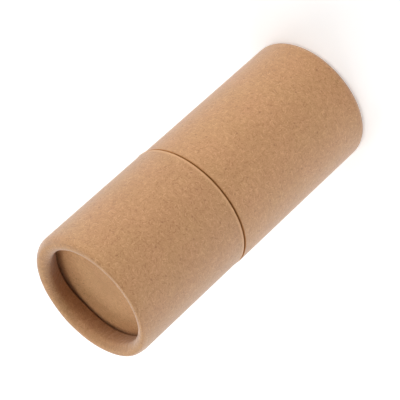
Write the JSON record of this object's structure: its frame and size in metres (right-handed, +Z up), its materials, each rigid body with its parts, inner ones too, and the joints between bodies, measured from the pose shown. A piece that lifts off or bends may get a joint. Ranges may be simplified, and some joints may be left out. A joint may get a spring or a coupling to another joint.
{
  "type": "lidded paper tube",
  "caption": "Round kraft paper tube with a lift-off lid over an inner neck, rolled rims and recessed end discs.",
  "frame": {"origin": "centre of the base's resting rim, at its lowest point", "axes": "+Z up along the tube's axis, from the base towards the lid"},
  "size_m": [0.05, 0.05, 0.121],
  "materials": {
    "kraft_wall": "matt brown kraft paper with a fine fibre fleck",
    "kraft_disc": "matt brown kraft paperboard",
    "neck_paper": "matt brown kraft paper, wound"
  },
  "bodies": {
    "base": {"base_tube": "kraft_wall", "base_disc": "kraft_disc", "neck_sleeve": "neck_paper"},
    "lid": {"lid_tube": "kraft_wall", "lid_disc": "kraft_disc"}
  },
  "joints": [
    {"name": "lid_lift", "type": "slide", "parent": "base", "child": "lid", "axis": [0, 0, 1], "range_m": [0, 0.03]}
  ]
}
